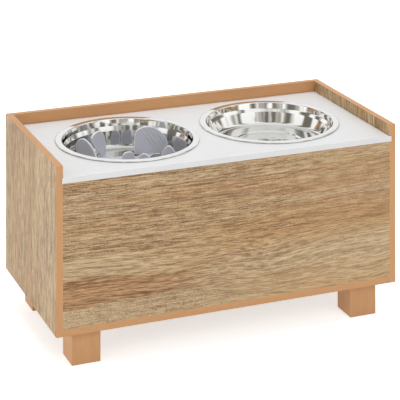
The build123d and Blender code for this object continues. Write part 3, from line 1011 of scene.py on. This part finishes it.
insert_shape = bmesh.new()
for petal in PETALS.values():
    add_plate(insert_shape, petal_outline(petal), PETAL_THICK, PETAL_ROUNDING, petal_place(petal))
print("petals:", len(PETALS), "faces", len(insert_shape.faces))

# %% [markdown]
# ## The star under the petals
# A thin star joins the petals: a round hub with one arm to each of them. Its outline needs no
# cutting and joining of shapes, because seen from the middle each part reaches just so far at any
# angle, and the outline is the furthest of them. The function that made the petals makes it too.

# %% Star
HUB = 48.0
ARM = 9.0  # half the width of an arm
STAR_STEPS = 720
STAR_ROUNDING = 0.5
TINY = 1e-9


def star_radius(angle):
    """How far the star reaches at an angle: its hub, or the furthest of its arms."""
    reach = HUB
    for petal in PETALS.values():
        length = hypot(petal.x, petal.y)
        off = angle - atan2(petal.y, petal.x)
        across = abs(sin(off))
        if cos(off) <= 0:
            continue
        if length * across <= ARM:
            tip = length * cos(off) + sqrt(ARM**2 - (length * across) ** 2)
            side = ARM / across if across > TINY else tip
            reach = max(reach, tip if side * cos(off) >= length else min(tip, side))
        elif (ARM / across) * cos(off) <= length:
            reach = max(reach, ARM / across)
    return reach


angles = [2 * pi * i / STAR_STEPS for i in range(STAR_STEPS)]
star = [Vector((cos(angle), sin(angle))) * star_radius(angle) for angle in angles]
add_plate(insert_shape, star, BASE_THICK, STAR_ROUNDING, base_place())
print("star reaches", round(max(p.length for p in star), 1), "mm")

# %% [markdown]
# ## Ribs that follow a petal
# The big petal at the back carries slanted ribs that fade out at both ends. Each rib starts as
# one straight edge of a mesh. Geometry Nodes turns the edges into curves and sweeps a small round
# section along them, thinner towards their ends and mostly sunk into the petal.

# %% Geometry Nodes: ribs
RIB_POINTS = 14
RIB_SIDES = 10
RIB_FULLNESS = 0.35  # the smaller, the longer a rib keeps its full size
RIB_TIP = 0.15


def build_ribs():
    tree, given, result = new_tree(
        "GeometryNodeTree", "petal_ribs",
        {"Edges": "Geometry", "Rib Radius": "Float", "Finish": "Material"},
        {"Ribs": "Geometry"},
    )
    edges, rib_radius, finish = list(given.outputs)[:3]
    curves = add(tree, "GeometryNodeMeshToCurve", Mesh=edges)
    finer = add(tree, "GeometryNodeResampleCurve", Curve=curves.outputs[0], Count=RIB_POINTS)
    along = add(tree, "GeometryNodeSplineParameter").outputs["Factor"]
    swell = maths("SINE", times(along, pi))
    swell = maths("POWER", maths("MAXIMUM", swell, 0.0), RIB_FULLNESS)
    section = add(tree, "GeometryNodeCurvePrimitiveCircle", Resolution=RIB_SIDES,
                  Radius=rib_radius)
    swept = add(tree, "GeometryNodeCurveToMesh", Curve=finer.outputs[0],
                Profile_Curve=section.outputs["Curve"], Fill_Caps=True,
                Scale=maths("MAXIMUM", swell, RIB_TIP))
    close_tree(swept.outputs[0], finish, result)
    return tree


petal_ribs = build_ribs()
print("petal_ribs has", len(petal_ribs.nodes), "nodes")

# %% Ribs on the big petal
RIB_RADIUS = 0.0022
RIB_RISE = 1.1  # millimetres that a rib stands out of the petal
RIB_LEAN = radians(35)
RIB_SPOTS = [(-1 + 7.8 * i, 22.0) for i in range(4)]  # one spot on each rib
RIB_MARGIN = 3.2  # from the petal's edge, in millimetres
RIB_LOWEST = 7
TRIALS = range(-60, 61)
TRIAL_STEP = 0.5


def inside(point, outline):
    """Whether a point lies within a closed outline."""
    crossings = 0
    for a, b in zip(outline, outline[1:] + outline[:1]):
        if (a.y > point.y) != (b.y > point.y):
            if point.x < a.x + (point.y - a.y) * (b.x - a.x) / (b.y - a.y):
                crossings += 1
    return crossings % 2 == 1


big_petal = PETALS["back_right"]
place = petal_place(big_petal)
limit = drawn_in(petal_outline(big_petal), RIB_MARGIN)
lean = Vector((-sin(RIB_LEAN), cos(RIB_LEAN)))
depth = PETAL_THICK / 2 + RIB_RISE - RIB_RADIUS / MM
rib_ends = []
for spot in RIB_SPOTS:
    run = [Vector(spot) + lean * trial * TRIAL_STEP for trial in TRIALS]
    run = [p for p in run if inside(p, limit) and p.y > RIB_LOWEST]
    rib_ends += [place @ Vector((p.x, p.y, depth)) for p in (run[0], run[-1])]
rib_edges = bpy.data.meshes.new("rib_edges")
rib_edges.from_pydata(rib_ends, [(i, i + 1) for i in range(0, len(rib_ends), 2)], [])
ribs = run_tree("ribs", rib_edges, petal_ribs, {"Rib Radius": RIB_RADIUS, "Finish": grey_plastic})
insert_shape.from_mesh(ribs.data)
bpy.data.objects.remove(ribs)
insert = smooth_piece("slow_insert", insert_shape, grey_plastic, grey_painted_highlight)
stand_for(insert, "insert", "slow_feeder")
print("insert faces", len(insert.data.polygons))

# %% [markdown]
# ## A plain floor
# The feeder stands on a plain pale floor. Its paper is an ordinary rough surface, so it takes the
# feeder's shadow. The rest of its white comes from a glow that only the camera, mirrors and glass
# see, so that it throws no light on the feeder.

# %% Floor
FLOOR_REACH = 30
PAPER = {"Base Color": (0.9, 0.9, 0.9, 1), "Roughness": 0.9, "Specular IOR Level": 0.1}
PAPER_GLOW = 0.6


def seen_by(tree, *kinds):
    """1 for the given kinds of rays and 0 for all others."""
    rays = add(tree, "ShaderNodeLightPath").outputs
    seen = rays[f"Is {kinds[0]} Ray"]
    for kind in kinds[1:]:
        seen = maths("MAXIMUM", seen, rays[f"Is {kind} Ray"])
    return seen


paper = bpy.data.materials.new("paper")
paper.use_nodes = True
tree = paper.node_tree
shader = tree.nodes["Principled BSDF"]
for name, value in PAPER.items():
    shader.inputs[name].default_value = value
seen = seen_by(tree, "Camera", "Glossy", "Transmission")
glow = add(tree, "ShaderNodeEmission", Strength=times(seen, PAPER_GLOW))
both = add(tree, "ShaderNodeAddShader")
feed(both.inputs[0], shader.outputs[0])
feed(both.inputs[1], glow.outputs[0])
feed(tree.nodes["Material Output"].inputs["Surface"], both.outputs[0])

corners = [(x * FLOOR_REACH, y * FLOOR_REACH, 0) for x, y in ((-1, -1), (1, -1), (1, 1), (-1, 1))]
floor_mesh = bpy.data.meshes.new("floor")
floor_mesh.from_pydata(corners, [], [(0, 1, 2, 3)])
floor_mesh.materials.append(paper)
placed("floor", floor_mesh)
print("floor ready")

# %% [markdown]
# ## A room for the mirrors
# Polished steel has no look of its own and shows only what is around it. A plain white world
# would leave it chalky, so mirrors get a simple room: bright windows, duller shelves and dark
# gaps, made of noise over the compass bearing and drawn out upwards. Overhead and beyond the
# feeder the room is clear. Everything else sees one even light, and the camera sees white.

# %% World
UPWARD_SCALE = 0.15  # the smaller, the taller the things in the room
ROOM_SCALE = 2.7
CLEAR_BEARING = (0.366, 0.931, 0.0)  # beyond the feeder
BRIGHTER_BEHIND = 0.08  # behind the camera
DARKER = -0.03
SHELF_LEVELS = (0.42, 0.49)
WINDOW_LEVELS = (0.48, 0.57)
CLEAR_BEYOND = (0.86, 0.97)
CLEAR_ABOVE = (0.75, 0.93)
GAP_TINT = (0.19, 0.182, 0.155, 1.0)
SHELF_TINT = (0.5, 0.465, 0.42, 1.0)
WINDOW_TINT = (1.15, 1.15, 1.14, 1.0)
CLEAR_TINT = (0.95, 0.95, 0.96, 1.0)
WHITE = (1.0, 1.0, 1.0, 1.0)
AMBIENT = (0.58, 0.58, 0.58, 1.0)

world = bpy.data.worlds.new("room")
scene.world = world
world.use_nodes = True
tree = world.node_tree
tree.nodes.clear()
facing = add(tree, "ShaderNodeTexCoord").outputs["Generated"]
x, y, z = add(tree, "ShaderNodeSeparateXYZ", Vector=facing).outputs
level = add(tree, "ShaderNodeCombineXYZ", X=x, Y=y)
bearing = maths("VECTOR_NORMALIZE", level.outputs[0])
rise = add(tree, "ShaderNodeCombineXYZ", Z=times(z, UPWARD_SCALE))
spot = maths("VECTOR_ADD", bearing, rise.outputs[0])
things = noise(spot, ROOM_SCALE)
beyond = maths("VECTOR_DOT_PRODUCT", bearing, CLEAR_BEARING)
behind = maths("MAXIMUM", times(beyond, -1.0), 0.0)
things = maths("ADD", things, maths("MULTIPLY_ADD", behind, BRIGHTER_BEHIND, DARKER))
room = mix_colours(between(things, *SHELF_LEVELS), GAP_TINT, SHELF_TINT)
room = mix_colours(between(things, *WINDOW_LEVELS), room, WINDOW_TINT)
clear = maths("MAXIMUM", between(beyond, *CLEAR_BEYOND), between(z, *CLEAR_ABOVE))
room = mix_colours(clear, room, CLEAR_TINT)
plain = mix_colours(seen_by(tree, "Camera"), AMBIENT, WHITE)
room = mix_colours(seen_by(tree, "Glossy", "Transmission"), plain, room)
background = add(tree, "ShaderNodeBackground", Color=room, Strength=1.0)
add(tree, "ShaderNodeOutputWorld", Surface=background.outputs[0])
print("world ready")

# %% [markdown]
# ## Soft lamps
# Four square soft boxes do what the even light of the world can't: they make one side brighter
# than another. The key lamp stands in front on the right and a weaker one on the left, one
# overhead lights the lid and the bowls, and a low one far to the left reaches the legs under the
# box. Mirrors don't see them, because the room is all that they should show.

# %% Lamps
# Place, the point that the lamp looks at, width in metres, and watts.
LAMPS = {
    "key": ((0.7, -2.8, 2.1), (0, 0, 0.2), 1.6, 19.5),
    "left": ((-2.6, -1.1, 0.6), (0, 0, 0.1), 0.9, 8),
    "low": ((-5.0, -1.2, 0.12), (0, 0, 0.03), 0.5, 50),
    "top": ((0, 0.5, 3.0), (0, 0, 0.3), 2.0, 30),
}
for name, (where, towards, width, watts) in LAMPS.items():
    light = bpy.data.lights.new(name, "AREA")
    light.shape = "SQUARE"
    light.size = width
    light.energy = watts
    lamp = placed(name, light)
    lamp.visible_glossy = False
    lamp.location = where
    facing = Vector(towards) - Vector(where)
    lamp.rotation_euler = facing.to_track_quat("-Z", "Y").to_euler()
scene.view_settings.view_transform = "Standard"
print("lamps:", len(LAMPS))
